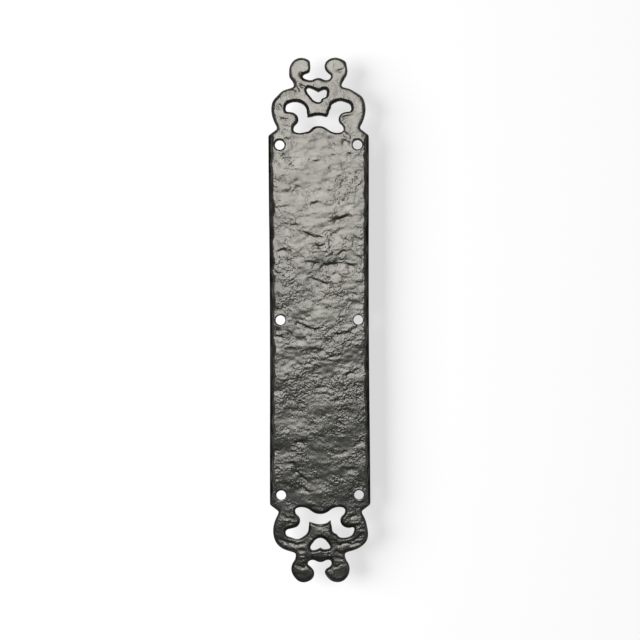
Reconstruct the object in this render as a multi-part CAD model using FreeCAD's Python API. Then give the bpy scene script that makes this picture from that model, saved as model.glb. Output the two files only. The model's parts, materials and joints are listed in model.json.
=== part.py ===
"""Cast iron door finger plate: a long beaten plate with a pierced scroll crest at each end.

The plate is one casting. It is drawn as it hangs on a door: X across, Z up, and the beaten front
faces -Y. The origin is the middle of the flat back, which lies on the door in the plane Y = 0.
The two crests are alike, and each is symmetric about the plate's long axis, so one quarter of the
outline is drawn and mirrored. A place on a crest is measured "out" from the long axis and "up" from
the shoulder line, where the straight side ends. All lengths are millimetres.
"""
import FreeCAD
import Part

import math
import os
import random

# Plate body, between the two shoulder lines
PLATE_WIDTH = 63.2
BODY_LENGTH = 230.0
PLATE_THICKNESS = 4.0
SIDE_WAIST = 0.45
CORNER_RADIUS = 2.3
SHOULDER_SLOPE_DEG = 37.0

# Bevels round the front
EDGE_BEVEL = 2.0
OPENING_BEVEL = 1.4

# Screw holes: three pairs, by the top shoulder, at mid-length and by the bottom shoulder
HOLE_DIAMETER = 6.0
HOLE_FROM_SIDE = 7.15
HOLE_FROM_SHOULDER = 5.0

# Beaten front: hammer hollows on a loose grid, longer across the plate than along it
HOLLOW_DEPTH_MIN = 0.1
HOLLOW_DEPTH_MAX = 1.4
HOLLOW_ACROSS = 10.0
HOLLOW_ALONG = 7.0
HOLLOW_SEED = 11

# Notch at the end of the shoulder, in from the plate's side
NOTCH_DEPTH = 5.3
NOTCH_RADIUS = 1.1

# Arch, the outer sweep of the scroll: its flank leaves the notch, and its widest point is in from the side
ARCH_FLANK_OUT = 1.5
ARCH_FLANK_RISE = 3.7
ARCH_FLANK_LEAN_DEG = 25.0
ARCH_INSET = 1.9
ARCH_RISE = 11.9
CROWN_IN = 4.4
CROWN_RISE = 10.1
CROWN_SLOPE_DEG = 38.0
ARCH_END_OUT = 2.7
ARCH_END_RISE = 3.0
ARCH_END_SLOPE_DEG = 15.0

# Neck, and the knob that curls in from it like a comma
NECK_OUT = 15.5
NECK_RISE = 2.0
NECK_WIDTH = 7.6
KNOB_OVERHANG = 2.9
KNOB_RISE = 8.9
KNOB_TOP_IN = 7.7
KNOB_TOP_RISE = 8.4
CURL_IN = 6.8
CURL_DROP = 5.6
CURL_END_OUT = 2.6
CURL_END_DROP = 4.4
CURL_END_SLOPE_DEG = 38.0

# Pocket under the knob, and the bow between the two pockets
POCKET_RISE = 5.6
POCKET_FLOOR_IN = 2.8
POCKET_FLOOR_DROP = 2.4
BOW_RISE = 1.4
BOW_DEPTH = 9.1

# Heart opening under the bow: a cusp at the top, two lobes and a rounded foot
HEART_CUSP_SLOPE_DEG = 30.0
HEART_TOP_OUT = 4.5
HEART_TOP_RISE = 1.6
HEART_SIDE_OUT = 1.7
HEART_SIDE_DROP = 1.5
HEART_TAPER_IN = 2.2
HEART_TAPER_DROP = 4.1
HEART_TAPER_SLOPE_DEG = 52.0
HEART_FOOT_DROP = 2.2

# Eye opening under the arches: a beak hangs in its middle, and a hook curls in from each arch
BEAK_DROP = 8.5
BEAK_TIP_OUT = 6.6
BEAK_TIP_DROP = 1.8
BEAK_TIP_SLOPE_DEG = 27.0
BEAK_SIDE_OUT = 0.8
BEAK_SIDE_RISE = 4.3
EYE_TOP_OUT = 7.2
EYE_TOP_RISE = 6.1
ARCH_WIDTH = 8.6
LID_IN = 4.9
LID_DROP = 2.1
LID_SLOPE_DEG = 14.0
HOOK_IN = 3.6
HOOK_DROP = 4.5

# Plate's curved end, below the eye: a valley at the foot of each arch and a swell between them
FOOT_OUT = 3.1
FOOT_RISE = 2.3
VALLEY_IN = 3.8
VALLEY_UP = 2.6
SWELL_RISE = 4.4

STRAIGHT = 1e-6
CUBIC = 3
RIGHT, UP, LEFT, DOWN = 0.0, 90.0, 180.0, 270.0
ORIGIN = FreeCAD.Vector(0, 0, 0)
ACROSS = FreeCAD.Vector(1, 0, 0)
FORWARD = FreeCAD.Vector(0, -1, 0)
ALONG = FreeCAD.Vector(0, 0, 1)


def moved(place, out, up):
    """The place that lies the given steps out and up from another."""
    return (place[0] + out, place[1] + up)


def outline_places():
    """The named places of the outline's quarter, each stepped off from a neighbour."""
    slope = math.radians(SHOULDER_SLOPE_DEG)
    aside = 1 - math.sin(slope)
    ahead = math.cos(slope)
    side = (PLATE_WIDTH / 2, 0)
    corner = moved(side, -CORNER_RADIUS * aside, CORNER_RADIUS * ahead)
    slope_end_out = side[0] - NOTCH_DEPTH + NOTCH_RADIUS * aside
    slope_run = corner[0] - slope_end_out
    slope_end = moved(corner, -slope_run, slope_run * math.tan(slope))
    notch = moved(slope_end, -NOTCH_RADIUS * aside, NOTCH_RADIUS * ahead)
    flank = moved(notch, ARCH_FLANK_OUT, ARCH_FLANK_RISE)
    arch = moved(notch, NOTCH_DEPTH - ARCH_INSET, ARCH_RISE)
    crown = moved(arch, -CROWN_IN, CROWN_RISE)
    arch_end = (NECK_OUT + ARCH_END_OUT, crown[1] + ARCH_END_RISE)
    neck = moved(arch_end, -ARCH_END_OUT, NECK_RISE)
    knob = moved(neck, KNOB_OVERHANG, KNOB_RISE)
    knob_top = moved(knob, -KNOB_TOP_IN, KNOB_TOP_RISE)
    curl = moved(knob_top, -CURL_IN, -CURL_DROP)
    curl_end = moved(curl, CURL_END_OUT, -CURL_END_DROP)
    pocket = moved(neck, -NECK_WIDTH, POCKET_RISE)
    pocket_floor = moved(pocket, -POCKET_FLOOR_IN, -POCKET_FLOOR_DROP)
    bow = (0, pocket_floor[1] + BOW_RISE)
    return {
        "side": side, "corner": corner, "slope_end": slope_end, "notch": notch, "flank": flank,
        "arch": arch, "crown": crown, "arch_end": arch_end, "neck": neck, "knob": knob,
        "knob_top": knob_top, "curl": curl, "curl_end": curl_end, "pocket": pocket,
        "pocket_floor": pocket_floor, "bow": bow,
    }


def opening_places(outline):
    """The named places of the heart and the eye, stepped off from the outline round them."""
    cusp = moved(outline["bow"], 0, -BOW_DEPTH)
    heart_top = moved(cusp, HEART_TOP_OUT, HEART_TOP_RISE)
    heart_side = moved(heart_top, HEART_SIDE_OUT, -HEART_SIDE_DROP)
    heart_taper = moved(heart_side, -HEART_TAPER_IN, -HEART_TAPER_DROP)
    heart_foot = (0, heart_taper[1] - HEART_FOOT_DROP)
    beak = moved(heart_foot, 0, -BEAK_DROP)
    beak_tip = moved(beak, BEAK_TIP_OUT, -BEAK_TIP_DROP)
    beak_side = moved(beak_tip, BEAK_SIDE_OUT, BEAK_SIDE_RISE)
    eye_top = moved(beak_side, EYE_TOP_OUT, EYE_TOP_RISE)
    eye_corner = moved(outline["arch"], -ARCH_WIDTH, 0)
    lid = moved(eye_corner, -LID_IN, -LID_DROP)
    hook = moved(lid, -HOOK_IN, -HOOK_DROP)
    foot = (hook[0] + FOOT_OUT, VALLEY_UP + FOOT_RISE)
    valley = moved(foot, -VALLEY_IN, -FOOT_RISE)
    swell = (0, VALLEY_UP + SWELL_RISE)
    return {
        "cusp": cusp, "heart_top": heart_top, "heart_side": heart_side, "heart_taper": heart_taper,
        "heart_foot": heart_foot, "beak": beak, "beak_tip": beak_tip, "beak_side": beak_side,
        "eye_top": eye_top, "eye_corner": eye_corner, "lid": lid, "hook": hook, "foot": foot,
        "valley": valley, "swell": swell,
    }


def direction(heading_deg):
    """Unit vector of a heading in the plane of the back: 0 is +X and 90 is +Z."""
    angle = math.radians(heading_deg)
    return FreeCAD.Vector(math.cos(angle), 0, math.sin(angle))


def tangent_arc(start, start_way, end):
    """The arc from start to end that leaves along start_way, or a line if end lies straight ahead."""
    chord = end - start
    turn = math.atan2(start_way.cross(chord).dot(FORWARD), start_way.dot(chord))
    if abs(turn) < STRAIGHT:
        return Part.LineSegment(start, end).toShape()
    side = chord.cross(FORWARD)
    middle = (start + end) / 2 + side * (math.tan(turn / 2) / 2)
    return Part.Arc(start, middle, end).toShape()


def biarc(start, start_way, end, end_way):
    """Two arcs that join smoothly and lead from start to end along the two headings."""
    chord = end - start
    ways = start_way + end_way
    bend = 2 * (1 - start_way.dot(end_way))
    reach = chord.dot(ways)
    if bend < STRAIGHT:
        arm = chord.dot(chord) / (2 * reach)
    else:
        arm = (math.sqrt(reach * reach + bend * chord.dot(chord)) - reach) / bend
    joint = (start + end + (start_way - end_way) * arm) / 2
    first = tangent_arc(start, start_way, joint)
    second = tangent_arc(end, end_way * -1, joint)
    return [first, second]


def smooth_path(stations):
    """Edges through stations of (place, heading in degrees), smooth at every station."""
    points = [FreeCAD.Vector(out, 0, BODY_LENGTH / 2 + up) for (out, up), heading in stations]
    ways = [direction(heading) for place, heading in stations]
    edges = []
    for index in range(len(stations) - 1):
        edges += biarc(points[index], ways[index], points[index + 1], ways[index + 1])
    return edges


def mirrored(edges, normal):
    """The edges and their mirror images in the plane through the origin."""
    return edges + [edge.mirror(ORIGIN, normal) for edge in edges]


def closed_wire(edges):
    return Part.Wire(Part.__sortEdges__(edges))


def outer_outline(at):
    """The plate's outline: a waisted side, a sloped shoulder and one scroll, mirrored twice."""
    shoulder_deg = LEFT - SHOULDER_SLOPE_DEG
    waist = (at["side"][0] - SIDE_WAIST, -BODY_LENGTH / 2)
    quarter = smooth_path([
        (waist, UP),
        (at["side"], UP),
        (at["corner"], shoulder_deg),
        (at["slope_end"], shoulder_deg),
        (at["notch"], UP),
        (at["flank"], UP - ARCH_FLANK_LEAN_DEG),
        (at["arch"], UP),
        (at["crown"], LEFT - CROWN_SLOPE_DEG),
        (at["arch_end"], LEFT - ARCH_END_SLOPE_DEG),
        (at["neck"], UP),
        (at["knob"], UP),
        (at["knob_top"], LEFT),
        (at["curl"], DOWN),
        (at["curl_end"], RIGHT - CURL_END_SLOPE_DEG),
        (at["pocket"], DOWN),
        (at["pocket_floor"], LEFT),
        (at["bow"], LEFT),
    ])
    return closed_wire(mirrored(mirrored(quarter, ACROSS), ALONG))


def heart_opening(at):
    """The upper crest's heart."""
    half = smooth_path([
        (at["cusp"], RIGHT + HEART_CUSP_SLOPE_DEG),
        (at["heart_top"], RIGHT),
        (at["heart_side"], DOWN),
        (at["heart_taper"], LEFT + HEART_TAPER_SLOPE_DEG),
        (at["heart_foot"], LEFT),
    ])
    return closed_wire(mirrored(half, ACROSS))


def eye_opening(at):
    """The upper crest's wide opening, under both arches and above the plate's curved end."""
    beak = smooth_path([
        (at["beak"], RIGHT),
        (at["beak_tip"], RIGHT - BEAK_TIP_SLOPE_DEG),
    ])
    eye = smooth_path([
        (at["beak_tip"], UP),
        (at["beak_side"], UP),
        (at["eye_top"], RIGHT),
        (at["eye_corner"], DOWN),
        (at["lid"], LEFT + LID_SLOPE_DEG),
        (at["hook"], DOWN),
        (at["foot"], DOWN),
        (at["valley"], LEFT),
        (at["swell"], LEFT),
    ])
    return closed_wire(mirrored(beak + eye, ACROSS))


def pierced_blank():
    """The flat plate with its crests: the outline less the two hearts and the two eyes."""
    outline = outline_places()
    openings = opening_places(outline)
    upper = [heart_opening(openings), eye_opening(openings)]
    lower = [wire.mirror(ORIGIN, ALONG) for wire in upper]
    profile = Part.makeFace([outer_outline(outline)] + upper + lower, "Part::FaceMakerBullseye")
    return profile.extrude(FORWARD * PLATE_THICKNESS)


def flat_front(solid):
    """The flat face furthest forward."""
    return min(solid.Faces, key=lambda face: face.CenterOfMass.y)


def bevelled(solid):
    """The solid with a bevel along its front outline and a smaller one round each opening."""
    solid = solid.makeChamfer(EDGE_BEVEL, flat_front(solid).OuterWire.Edges)
    front = flat_front(solid)
    opening_wires = [wire for wire in front.Wires if not wire.isSame(front.OuterWire)]
    opening_edges = [edge for wire in opening_wires for edge in wire.Edges]
    return solid.makeChamfer(OPENING_BEVEL, opening_edges)


def clamped_knots(count):
    """Knots and multiplicities of a cubic spline with this many poles, held at both ends."""
    spans = count - CUBIC
    multiplicities = [CUBIC + 1] + [1] * (spans - 1) + [CUBIC + 1]
    return list(range(spans + 1)), multiplicities


def beaten_surface(front):
    """The beaten front as one smooth surface, with poles of seeded, uneven depth over the flat front."""
    rng = random.Random(HOLLOW_SEED)
    half_width = front.BoundBox.XMax + HOLLOW_ACROSS
    half_length = front.BoundBox.ZMax + HOLLOW_ALONG
    columns = math.ceil(2 * half_width / HOLLOW_ACROSS) + 1
    rows = math.ceil(2 * half_length / HOLLOW_ALONG) + 1
    poles = []
    for column in range(columns):
        x = half_width * (2 * column / (columns - 1) - 1)
        line = []
        for row in range(rows):
            z = half_length * (2 * row / (rows - 1) - 1)
            depth = rng.uniform(HOLLOW_DEPTH_MIN, HOLLOW_DEPTH_MAX)
            line.append(FreeCAD.Vector(x, depth - PLATE_THICKNESS, z))
        poles.append(line)
    across_knots, across_counts = clamped_knots(columns)
    along_knots, along_counts = clamped_knots(rows)
    surface = Part.BSplineSurface()
    surface.buildFromPolesMultsKnots(
        poles, across_counts, along_counts, across_knots, along_knots, False, False, CUBIC, CUBIC
    )
    return surface.toShape()


def screw_holes():
    """The three pairs of holes, as cylinders to cut with."""
    hole_x = PLATE_WIDTH / 2 - HOLE_FROM_SIDE
    hole_z = BODY_LENGTH / 2 - HOLE_FROM_SHOULDER
    drills = []
    for z in (hole_z, 0, -hole_z):
        for x in (-hole_x, hole_x):
            start = FreeCAD.Vector(x, PLATE_THICKNESS, z)
            drills.append(Part.makeCylinder(HOLE_DIAMETER / 2, 3 * PLATE_THICKNESS, start, FORWARD))
    return drills


def finger_plate():
    """The whole casting: pierced blank, bevelled front edges, beaten front and screw holes."""
    blank = bevelled(pierced_blank())
    swarf = beaten_surface(flat_front(blank)).extrude(FORWARD * PLATE_THICKNESS)
    return blank.cut(swarf).cut(screw_holes())


plate = finger_plate()
os.makedirs("parts", exist_ok=True)
plate.exportStep("parts/finger_plate.step")
box = plate.optimalBoundingBox(False)
print(f"finger_plate: {len(plate.Solids)} solid, {len(plate.Faces)} faces, valid {plate.isValid()}")
print(f"size {box.XLength:.2f} x {box.YLength:.2f} x {box.ZLength:.2f} mm, volume {plate.Volume / 1000:.2f} cm3")
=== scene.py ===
# %% [markdown]
# # A beaten black finger plate
# A finger plate is screwed to a door where hands push it. This one is a single iron casting: a long
# plate with a pierced scroll crest at each end, a front that looks beaten, and a coat of satin black
# paint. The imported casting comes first. It is the frame that everything else is fitted to, so its box
# is kept for the end. Lengths are in millimetres, and MM turns them into Blender's metres.

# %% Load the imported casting
import json
import math

import bmesh
import bpy
import numpy as np
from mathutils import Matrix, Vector, kdtree, noise


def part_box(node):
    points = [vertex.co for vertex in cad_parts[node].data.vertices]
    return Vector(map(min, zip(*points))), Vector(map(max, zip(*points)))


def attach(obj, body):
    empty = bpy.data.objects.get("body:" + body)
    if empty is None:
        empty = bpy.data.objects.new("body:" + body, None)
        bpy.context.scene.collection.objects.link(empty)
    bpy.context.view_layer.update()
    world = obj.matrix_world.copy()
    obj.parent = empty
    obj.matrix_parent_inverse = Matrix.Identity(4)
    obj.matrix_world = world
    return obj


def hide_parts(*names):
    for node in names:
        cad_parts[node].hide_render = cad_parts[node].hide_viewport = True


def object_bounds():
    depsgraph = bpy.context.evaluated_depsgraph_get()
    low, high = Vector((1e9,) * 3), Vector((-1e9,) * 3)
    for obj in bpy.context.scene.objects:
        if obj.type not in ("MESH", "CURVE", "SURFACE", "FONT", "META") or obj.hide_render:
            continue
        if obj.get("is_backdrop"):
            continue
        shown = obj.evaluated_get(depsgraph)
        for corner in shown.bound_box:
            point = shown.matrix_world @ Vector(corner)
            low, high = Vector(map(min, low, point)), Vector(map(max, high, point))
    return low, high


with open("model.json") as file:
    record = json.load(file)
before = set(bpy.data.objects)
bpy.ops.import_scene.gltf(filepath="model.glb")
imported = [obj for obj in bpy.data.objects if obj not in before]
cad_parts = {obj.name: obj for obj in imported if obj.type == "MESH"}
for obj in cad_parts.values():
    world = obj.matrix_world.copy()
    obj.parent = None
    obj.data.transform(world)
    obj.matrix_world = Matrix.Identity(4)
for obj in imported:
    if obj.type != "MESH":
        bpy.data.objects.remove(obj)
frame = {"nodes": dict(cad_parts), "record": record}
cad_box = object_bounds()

MM = 0.001
casting = frame["nodes"]["finger_plate"]
low, high = (Vector(corner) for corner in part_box("finger_plate"))
print("casting measures", [round(length / MM, 2) for length in high - low], "mm")

# %% [markdown]
# ## The iron plate
# The real plate was poured into a sand mould, so its front has hollows, creases and ripples of every
# size, down to the grain of the sand. Such a surface can be sculpted by hand, or drawn as a bump in the
# paint, but a bump has no real slopes and is lost in the exported shape. So a copy of the casting is
# cut into small even faces, and those are pushed in and out, in layers, by modifiers. The casting's
# mesh is loose triangles, so the copy is merged first.

# %% Copy the casting and merge its loose triangles
MERGE = 0.002 * MM


def pick(piece):
    """Make this piece the only one selected, as a click on it would."""
    bpy.ops.object.select_all(action="DESELECT")
    piece.select_set(True)
    bpy.context.view_layer.objects.active = piece


plate = bpy.data.objects.new("beaten_plate", casting.data.copy())
bpy.context.collection.objects.link(plate)
pick(plate)
bpy.ops.object.mode_set(mode="EDIT")
bpy.ops.mesh.select_all(action="SELECT")
bpy.ops.mesh.remove_doubles(threshold=MERGE)
bpy.ops.object.mode_set(mode="OBJECT")
plate.data.materials.clear()
print("copy has", len(plate.data.vertices), "points")

# %% [markdown]
# ## Scrolls that were carved by hand
# The casting's four crest quarters are mirror images. On the real plate the pattern was carved by hand,
# and no two quarters agree: a knob leans, an eye is longer, the heart sits askew. Proportional editing
# does what a thumb does to clay: one spot is pulled, and what lies within reach follows softly. The
# screw holes stay where they are, because screws have to fit them.

# %% Pull the scrolls a little out of true
GRIP = 0.6
PULLS = [
    # x and z of the spot, its move in x and z, and the reach
    # upper left quarter: knob, pocket, neck, arch, eye, beak and plate end
    (-4.0, 159.5, -1.0, 0.0, 4.0),
    (-7.9, 153.3, -1.7, 0.0, 3.0),
    (-17.0, 152.0, -0.9, 0.0, 4.5),
    (-26.0, 141.5, 0.7, -0.5, 6.0),
    (-21.0, 132.6, 0.5, 0.0, 3.0),
    (-6.6, 126.7, -0.6, 0.6, 2.5),
    (-6.0, 119.8, 0.0, -0.9, 3.5),
    # upper right quarter: knob, neck, arch, eye and beak
    (16.5, 162.5, 0.9, 0.0, 4.0),
    (15.5, 147.7, -0.8, 0.0, 3.5),
    (24.0, 143.0, -0.3, -0.6, 6.0),
    (13.0, 137.0, 0.0, 0.6, 4.0),
    (9.6, 135.4, -1.1, 0.0, 3.0),
    (21.0, 132.6, -0.5, 0.0, 3.0),
    (7.3, 130.0, -0.8, 0.0, 3.0),
    (6.6, 126.7, -1.1, 0.9, 2.5),
    # upper heart: both lobes and a burr on its right side
    (-5.5, 144.3, -1.3, 1.1, 3.5),
    (6.0, 143.0, -0.9, 0.0, 3.0),
    (3.2, 138.6, -1.0, 0.7, 2.0),
    # lower left quarter: eye, beak and knob
    (-20.6, -133.4, -0.7, -0.8, 5.0),
    (-14.6, -137.2, 0.0, -0.7, 5.0),
    (-6.6, -126.7, -0.6, 0.0, 2.5),
    (-16.0, -162.0, 0.5, 0.0, 6.0),
    # lower right quarter: arch, eye, beak, knob and pocket
    (28.6, -138.0, 0.9, 0.0, 9.0),
    (9.6, -135.4, 0.7, 0.6, 3.0),
    (21.0, -132.3, 0.3, 0.9, 3.0),
    (6.6, -126.7, 0.0, 0.9, 2.5),
    (4.0, -158.5, -1.2, 0.4, 4.0),
    (7.9, -153.3, -0.9, 0.0, 3.0),
    # lower heart
    (4.8, -144.7, 0.0, 0.7, 2.5),
]


def pull(piece, spot_x, spot_z, move_x, move_z, reach):
    """Take hold of the edge nearest to a spot, front and back together, and pull what lies within reach."""
    mesh = bmesh.from_edit_mesh(piece.data)
    gaps = [math.hypot(point.co.x / MM - spot_x, point.co.z / MM - spot_z) for point in mesh.verts]
    held = min(gaps) + GRIP
    for point, gap in zip(mesh.verts, gaps):
        point.select_set(gap < held)
    bmesh.update_edit_mesh(piece.data)
    bpy.ops.transform.translate(
        value=(move_x * MM, 0.0, move_z * MM), use_proportional_edit=True,
        proportional_edit_falloff="SMOOTH", proportional_size=reach * MM,
    )
    bpy.ops.mesh.select_all(action="DESELECT")


pick(plate)
bpy.ops.object.mode_set(mode="EDIT")
bpy.ops.mesh.select_mode(type="VERT")
bpy.ops.mesh.select_all(action="DESELECT")
for spot_and_move in PULLS:
    pull(plate, *spot_and_move)
bpy.ops.object.mode_set(mode="OBJECT")
print(len(PULLS), "spots pulled")

# %% [markdown]
# ## A fine, even mesh
# The casting's faces are long and thin, and a long face can't take a dent. A Remesh modifier lays equal
# squares over the shape instead. They are less than half as wide as the finest grain, so that the grain
# comes out round.

# %% Lay a fine even mesh over the copy
CAGE = 0.40 * MM


def add_modifier(piece, kind, **settings):
    """Add one modifier, set it and apply it, as the Modifiers panel does."""
    pick(piece)
    bpy.ops.object.modifier_add(type=kind)
    modifier = piece.modifiers[-1]
    for setting, value in settings.items():
        setattr(modifier, setting, value)
    bpy.ops.object.modifier_apply(modifier=modifier.name)


add_modifier(plate, "REMESH", mode="VOXEL", voxel_size=CAGE)
print("fine mesh has", len(plate.data.polygons), "faces")

# %% [markdown]
# ## How far is it to the edge?
# The next steps act on the front alone, and differently along the sides, round the scrolls and round
# the holes. So the side walls are found by their normals and sorted into those three kinds, and each
# front point's distance from each kind is measured once. The holes' places come from the record's
# screws.

# %% Measure every front point's distance from the edges
WALL_FACING = 0.35
FRONT_FACING = -0.5
HOLE_MARGIN = 0.6
SIDE_START = 30.0
SIDE_END = 114.5
screws = {mount["name"]: mount["dims"] for mount in frame["record"]["mounts"]}["corner_screws"]
hole_aside = screws["spacing_x_mm"] / 2
hole_rise = screws["spacing_y_mm"] / 2
hole_reach = screws["hole_r_mm"] + HOLE_MARGIN
hole_places = [(side * hole_aside, row * hole_rise) for side in (-1, 1) for row in (-1, 0, 1)]


def point_table(piece):
    """The places of a piece's points, in millimetres, and their normals."""
    count = len(piece.data.vertices)
    places = np.empty(count * 3)
    normals = np.empty(count * 3)
    piece.data.vertices.foreach_get("co", places)
    piece.data.vertices.foreach_get("normal", normals)
    return places.reshape(-1, 3) / MM, normals.reshape(-1, 3)


def near(points, spot, reach):
    """Which points lie within reach of a spot on the front."""
    return np.hypot(points[:, 0] - spot[0], points[:, 2] - spot[1]) < reach


def distance_to(chosen):
    """Each front point's distance from the nearest chosen wall point, and which one that is."""
    tree = kdtree.KDTree(len(chosen))
    for index in chosen:
        tree.insert((places[index, 0], 0.0, places[index, 2]), index)
    tree.balance()
    distance = np.zeros(len(places))
    nearest = np.zeros(len(places), dtype=int)
    for index in np.flatnonzero(front):
        _, nearest[index], distance[index] = tree.find((places[index, 0], 0.0, places[index, 2]))
    return distance, nearest


places, normals = point_table(plate)
front = normals[:, 1] < FRONT_FACING
wall = np.abs(normals[:, 1]) < WALL_FACING
hole_wall = wall & np.any([near(places, spot, hole_reach) for spot in hole_places], axis=0)
side_wall = wall & (np.abs(places[:, 0]) > SIDE_START) & (np.abs(places[:, 2]) < SIDE_END)
scroll_wall = wall & ~hole_wall & ~side_wall
from_hole, _ = distance_to(np.flatnonzero(hole_wall))
from_side, _ = distance_to(np.flatnonzero(side_wall))
from_scroll, scroll_point = distance_to(np.flatnonzero(scroll_wall))
from_edge = np.minimum(np.minimum(from_hole, from_side), from_scroll)
print("front has", int(front.sum()), "points, up to", round(from_edge.max(), 1), "mm from an edge")

# %% [markdown]
# ## The sloping rim
# A pattern needs draft, so that it leaves the sand without tearing it: a slope all round the rim. On
# this plate it is wide and uneven along the two long sides, narrower round the scrolls, and there a
# little wider where an edge faces down and on the lower crest. A Bevel modifier would make it even, so
# each front point near an edge is held below the slope instead. The front is ironed first by a Smooth
# modifier with a vertex group, which says how strongly the modifier acts on each point.

# %% Cut the sloping rim
RIM_SLOPE = math.tan(math.radians(42.0))
FACE_LEVEL = 3.25
SIDE_RIM = 2.8
SCROLL_RIM = 1.25
SCROLL_RIM_LEAN = 0.20
LOWER_RIM_WIDER = 0.30
HOLE_RIM = 0.5
RIM_WANDER = 1.1
RIM_WANDER_SIZE = 6.0
SCROLL_WANDER_SHARE = 0.5
RIM_BLEND = 1.0
CREST_START = 114.0
CREST_END = 122.0
FACE_START = 0.5
FACE_FULL = 1.8
IRON_FACTOR = 0.5
IRON_STROKES = 40
LEAST_WEIGHT = 0.001


def rise(values, start, end):
    """0 below start, 1 above end, and a smooth climb between them."""
    share = np.clip((values - start) / (end - start), 0.0, 1.0)
    return share * share * (3.0 - 2.0 * share)


def paint_group(piece, name, weights):
    """A vertex group with these weights."""
    group = piece.vertex_groups.new(name=name)
    for index in np.flatnonzero(weights > LEAST_WEIGHT):
        group.add([int(index)], float(weights[index]), "REPLACE")
    return name


def drift(points, size):
    """A smooth random drift for each front point, about -1 to 1 each way, that changes over this size."""
    drifts = np.zeros((len(points), 3))
    for index in np.flatnonzero(front):
        drifts[index] = noise.noise_vector(Vector(points[index]) / size)
    return drifts


rim_wander = drift(places, RIM_WANDER_SIZE)[:, 0] * RIM_WANDER
facing_up = normals[scroll_point, 2]
on_lower_crest = rise(-places[:, 2], CREST_START, CREST_END)
scroll_rim = SCROLL_RIM + LOWER_RIM_WIDER * on_lower_crest - SCROLL_RIM_LEAN * facing_up
rims = [
    (from_hole, np.full(len(places), HOLE_RIM)),
    (from_side, SIDE_RIM + rim_wander),
    (from_scroll, scroll_rim + SCROLL_WANDER_SHARE * rim_wander),
]


def cut_rim(piece):
    """Hold the front's points below the rim's slopes."""
    points, _ = point_table(piece)
    total = 0
    for distance, width in rims:
        slope_level = (width - distance) * RIM_SLOPE - FACE_LEVEL
        cut = front & (points[:, 1] < slope_level) & (distance < width + RIM_BLEND)
        points[cut, 1] = slope_level[cut]
        total += int(cut.sum())
    piece.data.vertices.foreach_set("co", (points * MM).ravel())
    return total


face_weights = rise(from_edge, FACE_START, FACE_FULL) * front
face = paint_group(plate, "face", face_weights)
add_modifier(plate, "SMOOTH", factor=IRON_FACTOR, iterations=IRON_STROKES, vertex_group=face)
print("rim cut at", cut_rim(plate), "points")

# %% [markdown]
# ## Lumps, the coarsest beating
# The beating is built up from coarse to fine. Each layer is a cloud texture in a Displace modifier. An
# Empty sets the size of the texture's lumps, and it is removed again. The coarsest lumps are wider than
# high, because the real ones run across the plate, and they are lower on the crests and low down on the
# plate.

# %% Beat the front into lumps
LUMP_WIDTH = 6.8
LUMP_HEIGHT = 4.8
LUMP_DEPTH = 0.60
CREST_LUMPS = 0.45
LOW_LUMPS = 0.60
LOW_BELOW = -70.0
LOW_ENDS = -20.0
CLOUD_MIDDLE = 0.45


def beat(piece, name, width, height, depth, group, **look):
    """Push the front in and out by a cloud texture with lumps of this width, height and depth.

    The Empty stands at a place of its own for each layer, so that no two layers line up.
    """
    bpy.ops.object.empty_add(location=(width, 0.0, height))
    gauge = bpy.context.object
    gauge.scale = (width * MM, width * MM, height * MM)
    bpy.context.view_layer.update()
    texture = bpy.data.textures.new(name, type="CLOUDS")
    texture.noise_scale = 1.0
    for setting, value in look.items():
        setattr(texture, setting, value)
    add_modifier(
        piece, "DISPLACE", direction="Y", texture=texture, texture_coords="OBJECT",
        texture_coords_object=gauge, vertex_group=group, strength=depth * MM, mid_level=CLOUD_MIDDLE,
    )
    bpy.data.textures.remove(texture)
    bpy.data.objects.remove(gauge)
    print(name, "are beaten in,", width, "x", height, "mm")


on_crest = rise(np.abs(places[:, 2]), CREST_START, CREST_END)
low_down = 1.0 - rise(places[:, 2], LOW_BELOW, LOW_ENDS)
calm = np.minimum(1.0 - (1.0 - CREST_LUMPS) * on_crest, 1.0 - (1.0 - LOW_LUMPS) * low_down)
lumpy = paint_group(plate, "lumpy", face_weights * calm)
beat(plate, "lumps", LUMP_WIDTH, LUMP_HEIGHT, LUMP_DEPTH, lumpy, noise_depth=1)

# %% [markdown]
# ## Marks, the creases that stand out
# Some creases are the plate's own: one can tell it by them. They are dents with a steep upper side,
# which looks down and goes dark, and a long gentle lower side, which looks up and shines. Each is a
# short path on the front, with a width and a depth. A vertex group holds how deep they press, and a
# Displace modifier presses them in.

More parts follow.
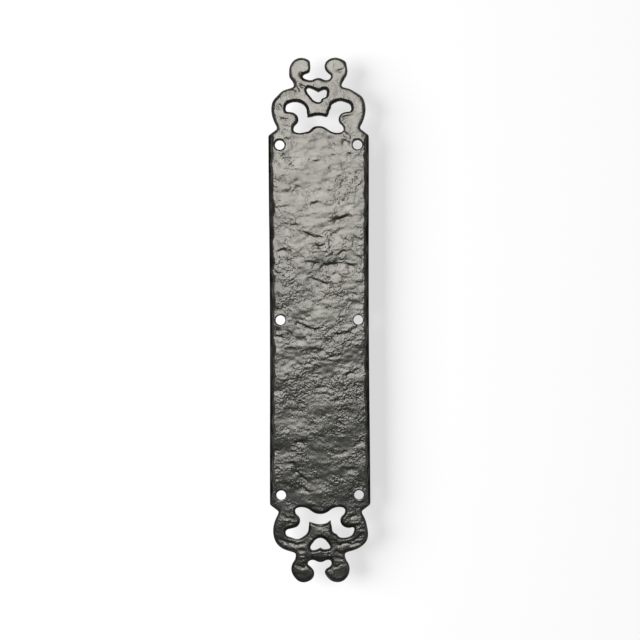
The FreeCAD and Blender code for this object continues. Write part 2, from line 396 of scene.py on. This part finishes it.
# %% Press in the marks
MARKS = [
    # points of the path, then the width of the steep side and the depth
    # upper half
    (((9.6, 62.1), (19.0, 65.2)), 1.9, 0.55),
    (((-5.0, 72.2), (0.6, 73.8)), 2.0, 0.36),
    (((-27.5, 70.4), (-20.1, 71.7)), 1.0, 0.25),
    (((-16.4, 59.5), (-13.3, 59.2)), 1.1, 0.25),
    (((-9.3, 54.9), (-4.0, 52.3), (2.3, 51.7)), 1.2, 0.32),
    (((-4.1, 47.6), (-0.4, 46.2), (4.3, 47.0)), 1.5, 0.32),
    (((-27.6, 42.5), (-22.9, 44.0), (-17.6, 42.7)), 1.7, 0.40),
    (((11.1, 40.3), (15.3, 43.3), (17.8, 42.3)), 1.2, 0.25),
    (((-11.4, 35.6), (-5.7, 36.4), (0.0, 35.5)), 1.1, 0.25),
    (((0.6, 33.5), (6.8, 34.7), (14.7, 35.2), (23.6, 33.3)), 2.0, 0.46),
    (((4.7, 25.6), (10.0, 29.2)), 1.1, 0.30),
    (((-6.2, 26.2), (-0.5, 24.6), (4.7, 22.0)), 1.4, 0.25),
    (((20.5, 52.7), (24.2, 50.6)), 1.5, 0.25),
    (((0.1, 93.8), (4.2, 93.8)), 0.9, 0.16),
    (((-16.9, 85.8), (-11.7, 83.2)), 1.0, 0.14),
    (((-3.8, 99.7), (3.5, 100.2)), 1.1, 0.20),
    (((-20.5, 101.3), (-12.7, 101.8)), 1.1, 0.16),
    (((8.2, 103.8), (10.3, 102.8)), 1.2, 0.26),
    (((17.6, 104.2), (22.4, 104.8)), 1.5, 0.32),
    (((6.2, 114.4), (10.3, 108.5)), 1.3, 0.26),
    (((7.2, 107.9), (10.3, 105.9)), 1.0, 0.20),
    (((17.2, 113.1), (20.3, 115.8)), 1.5, 0.26),
    (((-22.0, 115.5), (-17.9, 112.3)), 1.1, 0.28),
    (((-17.2, 114.4), (-15.2, 108.6)), 1.2, 0.22),
    # lower half
    (((9.8, -9.6), (19.7, -7.8)), 1.8, 0.55),
    (((20.3, -6.5), (26.0, -3.6)), 1.2, 0.30),
    (((-13.7, -1.3), (-9.0, -4.5), (-2.7, -6.4), (-0.7, -5.0)), 1.3, 0.32),
    (((-19.4, -6.5), (-16.9, -9.2)), 1.0, 0.25),
    (((-28.9, -9.6), (-23.1, -11.0)), 1.2, 0.35),
    (((-14.2, -11.8), (-8.0, -10.8)), 1.2, 0.25),
    (((-9.0, -19.4), (-1.2, -18.9)), 2.0, 0.28),
    (((-19.5, -17.5), (-15.3, -18.3)), 1.0, 0.20),
    (((16.5, -34.9), (24.3, -31.3)), 1.7, 0.38),
    (((-2.9, -42.6), (4.4, -42.2)), 1.2, 0.35),
    (((7.5, -51.1), (14.8, -50.0)), 1.1, 0.22),
    (((-20.7, -48.9), (-17.6, -50.1)), 1.0, 0.22),
    (((-9.1, -28.0), (-4.4, -26.4)), 1.0, 0.22),
    (((-14.5, -76.9), (-9.9, -75.9)), 1.2, 0.35),
    (((-29.7, -81.6), (-26.1, -82.6)), 1.1, 0.25),
    (((-19.8, -89.9), (-16.2, -90.3), (-15.2, -95.2), (-8.4, -101.0)), 1.3, 0.38),
    (((-11.6, -105.2), (-6.4, -107.8)), 1.2, 0.35),
    (((-24.1, -103.0), (-18.9, -102.8)), 1.6, 0.30),
    (((9.9, -84.3), (18.3, -82.1)), 1.1, 0.18),
    (((14.6, -93.2), (21.9, -93.8)), 1.6, 0.26),
    # upper crest: knob, neck, arches, hooks, and the shoulders beside the holes
    (((12.3, 156.3), (16.2, 157.3)), 1.1, 0.35),
    (((-14.6, 146.6), (-12.0, 143.6)), 1.1, 0.46),
    (((-11.8, 147.8), (-8.4, 146.4)), 1.0, 0.42),
    (((-22.2, 141.7), (-18.4, 143.2)), 1.1, 0.48),
    (((-25.2, 136.0), (-22.6, 132.4)), 1.3, 0.38),
    (((-24.0, 126.6), (-18.0, 125.6)), 1.2, 0.36),
    (((-22.6, 122.2), (-18.6, 120.8)), 1.0, 0.30),
    (((14.5, 127.3), (21.4, 128.4)), 1.0, 0.34),
    (((17.0, 132.2), (19.6, 138.4)), 0.9, 0.26),
    (((13.6, 118.2), (20.2, 115.4)), 1.5, 0.32),
    (((15.6, 112.6), (19.0, 111.2)), 1.5, 0.70),
    # lower crest: hooks, arches, necks, beak and web
    (((-23.4, -122.6), (-19.6, -124.6), (-15.2, -124.4)), 1.3, 0.34),
    (((-21.6, -127.0), (-16.4, -127.6)), 1.0, 0.40),
    (((17.6, -124.0), (23.4, -122.4)), 1.3, 0.34),
    (((18.6, -138.2), (23.0, -137.2), (26.6, -134.6)), 1.2, 0.32),
    (((8.5, -138.4), (12.0, -141.4), (16.4, -139.8), (19.5, -141.2), (24.3, -139.4)), 0.9, 0.40),
    (((24.4, -131.0), (27.8, -131.4)), 0.9, 0.34),
    (((16.8, -128.4), (21.1, -129.2), (24.3, -128.6)), 1.0, 0.38),
    (((9.6, -145.2), (13.4, -146.4)), 1.1, 0.42),
    (((9.5, -148.6), (15.0, -150.4)), 1.0, 0.38),
    (((-25.4, -137.0), (-21.4, -139.6), (-14.5, -140.8), (-9.5, -139.6)), 1.0, 0.38),
    (((-13.6, -144.0), (-9.6, -144.4)), 1.0, 0.36),
    (((-2.6, -129.6), (3.6, -129.8)), 1.1, 0.34),
    (((-8.5, -148.8), (-1.0, -150.2), (8.5, -149.2)), 1.3, 0.40),
    # grooves where the knobs curl in
    (((-8.6, 152.9), (-11.3, 155.8)), 1.5, 0.60),
    (((-15.5, -153.6), (-11.5, -155.2), (-8.0, -153.8)), 0.9, 0.40),
    (((8.0, -154.8), (12.0, -154.0), (16.5, -152.4)), 0.8, 0.40),
    (((-10.6, -153.6), (-8.4, -153.0)), 1.0, 0.50),
]
LOWER_REACH = 2.4
END_FADE = 5.0
WANDER = 0.6
WANDER_SIZE = 3.0
EVEN_DEPTH = 0.85
UNEVEN_DEPTH = 0.5
DEEPEST = 0.9


def mark_depths(points):
    """How far the marks press each point in: steep above each mark's path and gentle below it."""
    depths = np.zeros(len(points))
    strayed = drift(points, WANDER_SIZE)
    points = points + strayed * WANDER
    uneven = EVEN_DEPTH + UNEVEN_DEPTH * strayed[:, 1]
    for path, width, depth in MARKS:
        legs = [(Vector(start), Vector(end)) for start, end in zip(path, path[1:])]
        total = sum((end - start).length for start, end in legs)
        fade = min(END_FADE, total) / 2
        run = 0.0
        for start, end in legs:
            length = (end - start).length
            ux, uz = (end - start) / length
            dx = points[:, 0] - start[0]
            dz = points[:, 2] - start[1]
            along = dx * ux + dz * uz
            first = -math.inf if start == legs[0][0] else 0.0
            last = math.inf if end == legs[-1][1] else length
            past = np.abs(along - np.clip(along, first, last))
            across = (dz * ux - dx * uz) * np.sign(ux)
            reach = np.where(across > 0.0, width, width * LOWER_REACH)
            gone = run + along
            ends = rise(gone, -fade, fade) * (1.0 - rise(gone, total - fade, total + fade))
            press = depth * ends * (1.0 - rise(np.hypot(across / reach, past / width), 0.0, 1.0)) * uneven
            depths = np.maximum(depths, press)
            run += length
    return depths


places, _ = point_table(plate)
marks = paint_group(plate, "marks", front * mark_depths(places) / DEEPEST)
add_modifier(plate, "DISPLACE", direction="Y", vertex_group=marks, strength=DEEPEST * MM, mid_level=0.0)
print(len(MARKS), "marks pressed in")

# %% [markdown]
# ## Ripples and grain, the finest beating
# Molten iron takes the print of the sand, and the paint rounds it again. The print is uneven: some
# patches are worn or filled almost smooth, and others are coarse. So one more vertex group is painted,
# from oval patches, rough ones and smooth ones, with a random drift between them, and the two finest
# layers both follow it.

# %% Roughen the front
SMOOTH_PATCHES = [
    # x and z of the middle, half the width and half the height
    (-1.5, 4.5, 9.0, 7.0),
    (-4.0, -16.0, 7.0, 4.0),
    (5.5, -32.0, 6.0, 5.0),
    (1.0, -56.0, 8.0, 5.0),
    (-20.0, -27.0, 7.0, 6.0),
    (14.0, -77.0, 7.0, 5.0),
    (20.0, -21.0, 6.0, 4.0),
    (-3.0, -82.5, 7.0, 5.0),
    (5.0, -78.0, 6.0, 5.0),
    (-5.0, 90.0, 16.0, 12.0),
    (0.0, 110.0, 22.0, 9.0),
    (-2.0, 64.0, 9.0, 6.0),
    # the four knobs
    (-13.0, 158.5, 7.0, 6.5),
    (13.0, 158.5, 7.0, 6.5),
    (-13.0, -160.0, 6.0, 5.0),
    (13.0, -160.0, 6.0, 5.0),
]
ROUGH_PATCHES = [
    (17.0, 87.0, 7.0, 5.0),
    (13.0, 77.0, 7.0, 4.0),
    (-22.0, 31.0, 8.0, 9.0),
    (14.0, 17.0, 12.0, 6.0),
    (-17.0, 13.0, 9.0, 8.0),
    (12.0, -14.0, 12.0, 8.0),
    (-12.0, -42.0, 16.0, 10.0),
    (15.0, -45.0, 14.0, 9.0),
    (5.5, -68.0, 4.0, 4.0),
    (-26.5, -96.5, 4.0, 4.0),
]
PATCH_CORE = 0.5
PATCH_EDGE = 1.3
PATCH_STRENGTH = 0.48
ROUGH_EVERYWHERE = 0.49
ROUGHER_LOW_DOWN = 0.04
ROUGHER_BELOW = 10.0
ROUGHER_ENDS = 100.0
UPPER_CREST_ROUGHER = -0.08
LOWER_CREST_ROUGHER = 0.06
ROUGH_DRIFT = 0.75
ROUGH_DRIFT_SIZE = 5.5
LEAST_ROUGH = 0.18
RIPPLE_WIDTH = 2.45
RIPPLE_HEIGHT = 2.3
RIPPLE_DEPTH = 0.28
GRAIN_WIDTH = 1.05
GRAIN_HEIGHT = 1.0
GRAIN_DEPTH = 0.50
FINE_LOOK = {"noise_depth": 0, "noise_basis": "IMPROVED_PERLIN"}


def patch_weights(points, patches):
    """1 inside any of the oval patches, fading to 0 outside them."""
    weights = np.zeros(len(points))
    for x, z, half_width, half_height in patches:
        span = np.hypot((points[:, 0] - x) / half_width, (points[:, 2] - z) / half_height)
        weights = np.maximum(weights, 1.0 - rise(span, PATCH_CORE, PATCH_EDGE))
    return weights


def roughness_at(points):
    """How rough the front is at each point, from 0 to 1."""
    rough = ROUGH_EVERYWHERE + ROUGHER_LOW_DOWN * (1.0 - rise(points[:, 2], ROUGHER_BELOW, ROUGHER_ENDS))
    rough += UPPER_CREST_ROUGHER * rise(points[:, 2], CREST_START, CREST_END)
    rough += LOWER_CREST_ROUGHER * rise(-points[:, 2], CREST_START, CREST_END)
    rough += PATCH_STRENGTH * (patch_weights(points, ROUGH_PATCHES) - patch_weights(points, SMOOTH_PATCHES))
    rough += ROUGH_DRIFT * np.array([noise.noise(Vector(point) / ROUGH_DRIFT_SIZE) for point in points])
    return np.clip(rough, LEAST_ROUGH, 1.0)


rough = paint_group(plate, "rough", roughness_at(places) * face_weights)
beat(plate, "ripples", RIPPLE_WIDTH, RIPPLE_HEIGHT, RIPPLE_DEPTH, rough, **FINE_LOOK)
beat(plate, "grains", GRAIN_WIDTH, GRAIN_HEIGHT, GRAIN_DEPTH, rough, **FINE_LOOK)

# %% [markdown]
# ## Level along its length
# Black paint mirrors a lamp as water does, so a stretch of the front that leans down by one degree goes
# darker as a whole. The real front is level along its length: it goes evenly from light to dark. So its
# mean depth is measured at stations along the plate and evened out between them. The rim is cut again
# afterwards, through all the layers.

# %% Level the front along its length
LEVEL_END = 108.0
LEVEL_STEP = 9.0
FULL_FACE = 0.99


def level_front(piece):
    """Even out the front's mean depth along its length, and say how far it leaned in and out."""
    points, _ = point_table(piece)
    stations = np.arange(-LEVEL_END, LEVEL_END + LEVEL_STEP / 2, LEVEL_STEP)
    means = []
    for station in stations:
        there = (np.abs(points[:, 2] - station) < LEVEL_STEP) & (face_weights > FULL_FACE)
        means.append(points[there, 1].mean())
    lean = np.interp(points[:, 2], stations, means) - np.mean(means)
    points[:, 1] -= lean * face_weights
    piece.data.vertices.foreach_set("co", (points * MM).ravel())
    return np.ptp(means)


print("front leaned in and out by", round(level_front(plate), 2), "mm")
print("rim cut again at", cut_rim(plate), "points")

# %% [markdown]
# ## Within the casting's box, and no heavier than it needs to be
# A Decimate modifier thins the mesh: it takes the flat back and the walls first, because nothing is
# lost there. And no lump or scroll may stand out further than the casting does, or the plate would no
# longer have its real size.

# %% Thin the mesh and set back what stands proud
MOST_TRIANGLES = 192000
SMOOTH_BELOW = math.radians(40)


def triangles(piece):
    """How many triangles a piece's faces make."""
    return sum(len(face.vertices) - 2 for face in piece.data.polygons)


add_modifier(plate, "DECIMATE", decimate_type="COLLAPSE", ratio=MOST_TRIANGLES / triangles(plate))
places, _ = point_table(plate)
proud = places[:, 1] < low.y / MM
places = np.clip(places, np.array(low) / MM, np.array(high) / MM)
plate.data.vertices.foreach_set("co", (places * MM).ravel())
pick(plate)
bpy.ops.object.shade_smooth_by_angle(angle=SMOOTH_BELOW)
print(triangles(plate), "triangles left,", int(proud.sum()), "points set back")

# %% [markdown]
# ## Satin black paint on cast iron
# The plate was dipped in black paint, and hardly any light comes back out of such paint: what the eye
# sees is its sheen, a soft picture of the lamps. So the base is almost black, and the sheen does the
# work. Dipped paint dries thicker in one place than in another, so its colour and its sheen are patchy.
# It also carries the tooth of the sand, stronger where the front is rough. A real grain of sand is
# about half as wide as this tooth, which is drawn this coarse so that it shows.

# %% Mix the paint
SAND_TOOTH = 0.75 * MM
SAND_DEPTH = 0.12 * MM
SAND_DETAIL = 2.0
PAINT_PATCH = 6.0 * MM
PATCH_DETAIL = 3.0
PATCH_LOW = 0.3
PATCH_HIGH = 0.7
GLOSSIEST = 0.26
DULLEST = 0.35
PAINT_IOR = 1.7
THICK_PAINT = "#10100d"
THIN_PAINT = "#171713"
SHEEN_TINT = "#fffdf5"
# a Mix node's colour sockets go by number, because their names are not unique
MIX_FACTOR = 0
MIX_FIRST = 6
MIX_SECOND = 7
MIX_RESULT = 2


def linear(hex_colour):
    """An sRGB hex colour as the linear colour that Blender's sockets hold."""
    parts = [int(hex_colour[i:i + 2], 16) / 255 for i in (1, 3, 5)]
    return [p / 12.92 if p <= 0.04045 else ((p + 0.055) / 1.055) ** 2.4 for p in parts] + [1.0]


def add_node(tree, kind, inputs=(), **settings):
    """One node, with its settings. An input is a value, or the socket that is linked to it."""
    node = tree.nodes.new(kind)
    for setting, value in settings.items():
        setattr(node, setting, value)
    for socket, value in dict(inputs).items():
        if isinstance(value, bpy.types.NodeSocket):
            tree.links.new(value, node.inputs[socket])
        else:
            node.inputs[socket].default_value = value
    return node


def start_material(name):
    """A new material with an empty node tree."""
    material = bpy.data.materials.new(name)
    material.use_nodes = True
    material.node_tree.nodes.clear()
    return material, material.node_tree


sand = plate.data.attributes.new("sand", "FLOAT", "POINT")
sand.data.foreach_set("value", roughness_at(point_table(plate)[0]))
paint, tree = start_material("satin_black_paint_on_cast_iron")
where = add_node(tree, "ShaderNodeTexCoord").outputs["Object"]
tooth = add_node(
    tree, "ShaderNodeTexNoise", {"Vector": where, "Scale": 1 / SAND_TOOTH, "Detail": SAND_DETAIL},
)
patch = add_node(
    tree, "ShaderNodeTexNoise", {"Vector": where, "Scale": 1 / PAINT_PATCH, "Detail": PATCH_DETAIL},
)
sheen = add_node(
    tree, "ShaderNodeMapRange",
    {
        "Value": patch.outputs["Fac"], "From Min": PATCH_LOW, "From Max": PATCH_HIGH,
        "To Min": GLOSSIEST, "To Max": DULLEST,
    },
)
tone = add_node(
    tree, "ShaderNodeMix",
    {MIX_FACTOR: patch.outputs["Fac"], MIX_FIRST: linear(THICK_PAINT), MIX_SECOND: linear(THIN_PAINT)},
    data_type="RGBA",
)
gritty = add_node(tree, "ShaderNodeAttribute", attribute_name="sand")
bump = add_node(
    tree, "ShaderNodeBump",
    {"Height": tooth.outputs["Fac"], "Strength": gritty.outputs["Fac"], "Distance": SAND_DEPTH},
)
shader = add_node(
    tree, "ShaderNodeBsdfPrincipled",
    {
        "Base Color": tone.outputs[MIX_RESULT], "Roughness": sheen.outputs["Result"], "IOR": PAINT_IOR,
        "Specular Tint": linear(SHEEN_TINT), "Normal": bump.outputs["Normal"],
    },
)
add_node(tree, "ShaderNodeOutputMaterial", {"Surface": shader.outputs["BSDF"]})
plate.data.materials.append(paint)
print("paint has", len(tree.nodes), "nodes")

# %% [markdown]
# ## Fastened to the frame
# The beaten plate takes the place of the casting in the picture. The casting itself stays in the frame.

# %% Fasten the plate to the frame
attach(plate, "root")
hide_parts("finger_plate")
print(plate.name, "stands for", casting.name)

# %% [markdown]
# ## A white wall
# The plate hangs a little in front of white paper, so that its shadow falls soft and to the right. Part
# of the white is the paper's own, seen by the camera and in reflections, so the lamps need not be
# turned up for it. From behind, the paper is clear, because otherwise it would hide the plate's back.

# %% Hang the white paper
WALL_GAP = 13.0 * MM
WALL_SIZE = 6.0
WALL_SHARE = 0.66
PAPER = "#eeeeee"
PAPER_GLOW = "#ffffff"
bpy.ops.mesh.primitive_plane_add(
    size=WALL_SIZE, location=(0.0, WALL_GAP, 0.0), rotation=(math.radians(90), 0.0, 0.0),
)
backdrop = bpy.context.object
backdrop.name = "backdrop"
paper, tree = start_material("white_paper")
sheet = add_node(tree, "ShaderNodeBsdfDiffuse", {"Color": linear(PAPER)})
white = add_node(tree, "ShaderNodeEmission", {"Color": linear(PAPER_GLOW), "Strength": 1.0})
clear = add_node(tree, "ShaderNodeBsdfTransparent")
rays = add_node(tree, "ShaderNodeLightPath").outputs
seen = rays["Is Camera Ray"]
for ray in ("Is Glossy Ray", "Is Transmission Ray"):
    seen = add_node(tree, "ShaderNodeMath", {0: seen, 1: rays[ray]}, operation="ADD").outputs["Value"]
share = add_node(tree, "ShaderNodeMath", {0: seen, 1: WALL_SHARE}, operation="MULTIPLY")
front_side = add_node(
    tree, "ShaderNodeMixShader",
    {0: share.outputs["Value"], 1: sheet.outputs["BSDF"], 2: white.outputs["Emission"]},
)
behind = add_node(tree, "ShaderNodeNewGeometry").outputs["Backfacing"]
both_sides = add_node(
    tree, "ShaderNodeMixShader", {0: behind, 1: front_side.outputs["Shader"], 2: clear.outputs["BSDF"]},
)
add_node(tree, "ShaderNodeOutputMaterial", {"Surface": both_sides.outputs["Shader"]})
backdrop.data.materials.append(paper)
backdrop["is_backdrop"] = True
print("paper hangs", round(WALL_GAP / MM, 1), "mm behind the plate's back")

# %% [markdown]
# ## Soft light
# Black paint shows the lamps themselves. One tall panel stands in front, in five bands: three bright
# ones from just below the plate's middle upwards, and two that hardly glow below them. So the upper
# half of the plate mirrors the bright bands and the lower half mirrors the dim ones, where only lumps
# that look up stay bright. The bands' faint tints are those of the sheen, a little warmer at the top.
# Two weak panels at the sides draw the plate's edges when it is seen from an angle, and one behind it
# lights its back.
#
# The wall has a lamp of its own, wide and to the left, which casts the shadow. It is kept off the
# plate, as a studio would keep it off with a flag, because it would draw a white line on the left rim,
# and the panels in front and at the sides are kept off the wall. Places and sizes are in metres.

# %% Set up the lamps
PLATE_MIDDLE = (0.0, 0.0, 0.0)
PANEL_X = -0.08
PANEL_Y = -1.30
PANEL_WIDTH = 0.65
PANEL_BOTTOM = -0.62
PANEL_BANDS = [
    # name, height, glow and colour, from the bottom up
    ("floor_panel", 0.27, 0.15, "#fbfffb"),
    ("fill_panel", 0.30, 0.05, "#fbfffb"),
    ("low_panel", 0.17, 7.6, "#fbfffb"),
    ("key_panel", 0.28, 9.2, "#fffcfb"),
    ("top_panel", 0.50, 10.3, "#fffcfb"),
]
SIDE_PANEL_AT = 1.1
SIDE_PANEL_WIDTH = 0.7
SIDE_PANEL_HEIGHT = 1.6
SIDE_PANEL_GLOW = 0.9
WALL_LAMP_AT = (-1.50, -1.10, 0.10)
WALL_LAMP_WIDTH = 1.35
WALL_LAMP_HEIGHT = 1.2
WALL_LAMP_POWER = 78.0
REAR_LAMP_AT = (0.6, 1.2, 0.8)
REAR_LAMP_SIZE = 0.8
REAR_LAMP_POWER = 12.0
ROOM_GREY = 0.10


def add_panel(name, place, target, width, height, power):
    """A soft rectangular lamp at a place, turned to a target, in metres and watts."""
    bpy.ops.object.light_add(type="AREA", location=place)
    lamp = bpy.context.object
    lamp.name = name
    lamp.data.shape = "RECTANGLE"
    lamp.data.size = width
    lamp.data.size_y = height
    lamp.data.energy = power
    lamp.rotation_euler = (Vector(target) - Vector(place)).to_track_quat("-Z", "Y").to_euler()
    return lamp


def light_only(lamp, piece):
    """Let a lamp light only this piece."""
    lit = bpy.data.collections.new(lamp.name + "_lights")
    lit.objects.link(piece)
    lamp.light_linking.receiver_collection = lit


def power_for(glow, width, height):
    """The watts that give a panel of this size this glow, where a glow of 1 looks white."""
    return glow * math.pi * width * height


bottom = PANEL_BOTTOM
for name, tall, glow, colour in PANEL_BANDS:
    middle = bottom + tall / 2
    bottom += tall
    lamp = add_panel(
        name, (PANEL_X, PANEL_Y, middle), (PANEL_X, 0.0, middle), PANEL_WIDTH, tall,
        power_for(glow, PANEL_WIDTH, tall),
    )
    lamp.data.color = linear(colour)[:3]
    light_only(lamp, plate)
for name, side in (("left_panel", -1), ("right_panel", 1)):
    lamp = add_panel(
        name, (side * SIDE_PANEL_AT, -SIDE_PANEL_AT, 0.0), PLATE_MIDDLE,
        SIDE_PANEL_WIDTH, SIDE_PANEL_HEIGHT,
        power_for(SIDE_PANEL_GLOW, SIDE_PANEL_WIDTH, SIDE_PANEL_HEIGHT),
    )
    light_only(lamp, plate)
wall_lamp = add_panel(
    "wall_panel", WALL_LAMP_AT, PLATE_MIDDLE, WALL_LAMP_WIDTH, WALL_LAMP_HEIGHT, WALL_LAMP_POWER,
)
light_only(wall_lamp, backdrop)
add_panel("rear_panel", REAR_LAMP_AT, PLATE_MIDDLE, REAR_LAMP_SIZE, REAR_LAMP_SIZE, REAR_LAMP_POWER)
world = bpy.data.worlds.new("studio")
world.use_nodes = True
room = world.node_tree.nodes["Background"].inputs["Color"]
room.default_value = (ROOM_GREY, ROOM_GREY, ROOM_GREY, 1.0)
bpy.context.scene.world = world
print(len(bpy.data.lights), "lamps set up")

# %% [markdown]
# ## Camera
# The camera looks straight at the front from 0.8 m, and is tipped by a quarter of a degree, as the
# plate in the picture is. The lens is worked out from the width that the frame takes in at the front of
# the plate.

# %% Place the camera
SENSOR = 36.0
CAMERA_DISTANCE = 0.80
FRAME_WIDTH = 401.7 * MM
FRONT_PLANE = 3.3 * MM
CAMERA_ASIDE = 0.4 * MM
CAMERA_ROLL = math.radians(0.25)
bpy.ops.object.camera_add(
    location=(CAMERA_ASIDE, -CAMERA_DISTANCE, 0.0), rotation=(math.radians(90), CAMERA_ROLL, 0.0),
)
camera = bpy.context.object
camera.data.sensor_width = SENSOR
camera.data.lens = SENSOR * (CAMERA_DISTANCE - FRONT_PLANE) / FRAME_WIDTH
bpy.context.scene.camera = camera
bpy.context.scene.view_settings.view_transform = "Standard"
print("lens", round(camera.data.lens, 1), "mm")

# %% [markdown]
# ## Finish
# The box of the finished plate is printed beside the casting's, so that the two can be compared.

# %% Print the boxes and finish
sizes = {"cad": [list(corner) for corner in cad_box], "visual": [list(corner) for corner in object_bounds()]}
for name, box in sizes.items():
    print(name, "box in millimetres:", [[round(v / MM, 2) for v in corner] for corner in box])
